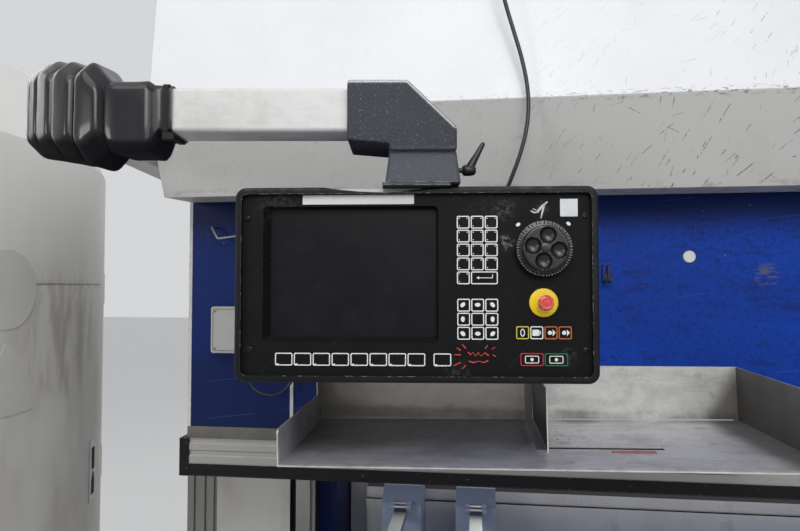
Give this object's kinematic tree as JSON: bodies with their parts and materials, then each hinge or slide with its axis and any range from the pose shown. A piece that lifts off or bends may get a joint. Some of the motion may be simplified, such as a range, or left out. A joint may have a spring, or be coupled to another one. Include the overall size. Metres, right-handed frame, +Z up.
{
  "type": "cnc press brake",
  "caption": "Hydraulic CNC press brake: upright ram over a table, C-shaped side plates, white hood, swinging control panel, ram tray, back gauge and a control cabinet.",
  "frame": {"origin": "on the floor, at the centre of the four anchor holes in the machine's feet", "axes": "+X along the bending line to the operator's right, +Z up; the operator stands at -Y"},
  "size_m": [4.523, 1.8848, 2.708],
  "materials": {
    "blue_paint": "satin blue enamel, scratched",
    "light_paint": "light grey enamel",
    "hood_paint": "off-white enamel, scratched",
    "cabinet_paint": "warm grey-white enamel",
    "dark_paint": "dark grey hammered enamel",
    "black_paint": "black textured enamel",
    "galvanised": "galvanised steel sheet",
    "machined_steel": "ground steel",
    "black_steel": "black oxide steel",
    "stainless": "brushed stainless sheet, scratched",
    "rod_chrome": "hard chrome plating",
    "clamp_aluminium": "satin anodised aluminium",
    "cast_dark": "dark grey painted casting",
    "bellows_rubber": "matt black rubber",
    "cable_rubber": "matt black cable sheath",
    "film_black": "matt black printed film",
    "key_print": "black keys with printed frames",
    "dark_plastic": "matt black plastic",
    "light_plastic": "light grey plastic",
    "white_plastic": "white plastic",
    "yellow_plastic": "yellow plastic",
    "red_plastic": "worn red plastic",
    "screen": "dark screen glass"
  },
  "bodies": {
    "frame": {"left_upright": "blue_paint", "right_upright": "blue_paint", "base_feet": "dark_paint", "table_beam": "blue_paint", "die_holder": "machined_steel", "cross_ties": "blue_paint", "guide_rails": "machined_steel", "cylinders": "dark_paint", "hood_cover": "hood_paint", "oil_tank": "light_paint", "pump_motor": "dark_paint", "valve_blocks": "machined_steel", "side_casings": "light_paint", "casing_posts": "clamp_aluminium", "arm_bracket": "light_paint", "inner_arm": "light_paint", "gauge_rails": "machined_steel", "cabinet_shell": "cabinet_paint", "cabinet_plinth": "dark_paint", "mounting_plate": "galvanised", "cable_duct": "galvanised", "hood_glands": "dark_plastic", "hood_cable": "cable_rubber"},
    "ram": {"ram_plate": "blue_paint", "ram_end_strips": "light_paint", "clamp_adapter": "machined_steel", "clamp_body": "clamp_aluminium", "clamp_jaws": "black_steel", "clamp_end_caps": "black_steel", "piston_rods": "rod_chrome", "guide_shoes": "cast_dark", "tray": "stainless", "tray_divider": "stainless", "ram_hooks": "black_steel", "hole_plug": "white_plastic", "junction_box": "light_plastic", "ram_cable": "cable_rubber"},
    "arm": {"outer_arm": "light_paint", "elbow_fork": "machined_steel", "bellows": "bellows_rubber", "knuckle": "cast_dark"},
    "panel": {"swivel_coupling": "cast_dark", "panel_bezel": "black_paint", "panel_face": "film_black", "screen_glass": "screen", "keypad": "key_print", "panel_housing": "black_paint", "estop_collar": "yellow_plastic"},
    "lever": {"clamp_lever": "dark_plastic"},
    "stop_button": {"estop_button": "red_plastic"},
    "wheel": {"handwheel": "dark_plastic"},
    "gauge_tower": {"gauge_towers": "blue_paint"},
    "gauge_lift": {"gauge_beam": "machined_steel"},
    "left_stop": {"left_carriage": "blue_paint"},
    "right_stop": {"right_carriage": "blue_paint"},
    "left_flap": {"left_finger": "machined_steel"},
    "right_flap": {"right_finger": "machined_steel"},
    "door": {"cabinet_door": "cabinet_paint"},
    "handle": {"door_handle": "dark_plastic"}
  },
  "joints": [
    {"name": "ram_slide", "type": "slide", "parent": "frame", "child": "ram", "axis": [0, 0, 1], "range_m": [-0.215, 0]},
    {"name": "arm_elbow", "type": "hinge", "parent": "frame", "child": "arm", "pos_m": [-1.55112, -1.19235, 2.0023], "axis": [0, 0, 1], "range_deg": [-80, 5], "deforming": ["bellows"]},
    {"name": "panel_swivel", "type": "hinge", "parent": "arm", "child": "panel", "pos_m": [-0.98754, -1.174, 1.94], "axis": [0, 0, 1], "range_deg": [-60, 45]},
    {"name": "swivel_lock", "type": "hinge", "parent": "panel", "child": "lever", "pos_m": [-0.927, -1.16648, 1.9197], "axis": [0.9924, 0.1233, 0], "range_deg": [-30, 60]},
    {"name": "stop_press", "type": "slide", "parent": "panel", "child": "stop_button", "axis": [-0.0837, 0.9965, 0], "range_m": [0, 0.004], "stiffness_N_per_m": 2000},
    {"name": "wheel_turn", "type": "hinge", "parent": "panel", "child": "wheel", "pos_m": [-0.81238, -1.18862, 1.8008], "axis": [0.0837, -0.9965, 0], "continuous": true},
    {"name": "gauge_reach", "type": "slide", "parent": "frame", "child": "gauge_tower", "axis": [0, 1, 0], "range_m": [-0.05, 0.4]},
    {"name": "gauge_height", "type": "slide", "parent": "gauge_tower", "child": "gauge_lift", "axis": [0, 0, 1], "range_m": [-0.06, 0.06]},
    {"name": "left_stop_place", "type": "slide", "parent": "gauge_lift", "child": "left_stop", "axis": [1, 0, 0], "range_m": [-0.03, 0.08]},
    {"name": "right_stop_place", "type": "slide", "parent": "gauge_lift", "child": "right_stop", "axis": [1, 0, 0], "range_m": [0, 2.05]},
    {"name": "left_finger_lift", "type": "hinge", "parent": "left_stop", "child": "left_flap", "pos_m": [-1.135, -0.2343, 1.082], "axis": [-1, 0, 0], "range_deg": [0, 90]},
    {"name": "right_finger_lift", "type": "hinge", "parent": "right_stop", "child": "right_flap", "pos_m": [-0.91, -0.2343, 1.082], "axis": [-1, 0, 0], "range_deg": [0, 90]},
    {"name": "door_swing", "type": "hinge", "parent": "frame", "child": "door", "pos_m": [-2.23982, -0.048, 1.13], "axis": [0, 0, 1], "range_deg": [-110, 0]},
    {"name": "handle_turn", "type": "hinge", "parent": "door", "child": "handle", "pos_m": [-2.63, -0.04, 1.12], "axis": [0, 1, 0], "range_deg": [0, 90]}
  ]
}
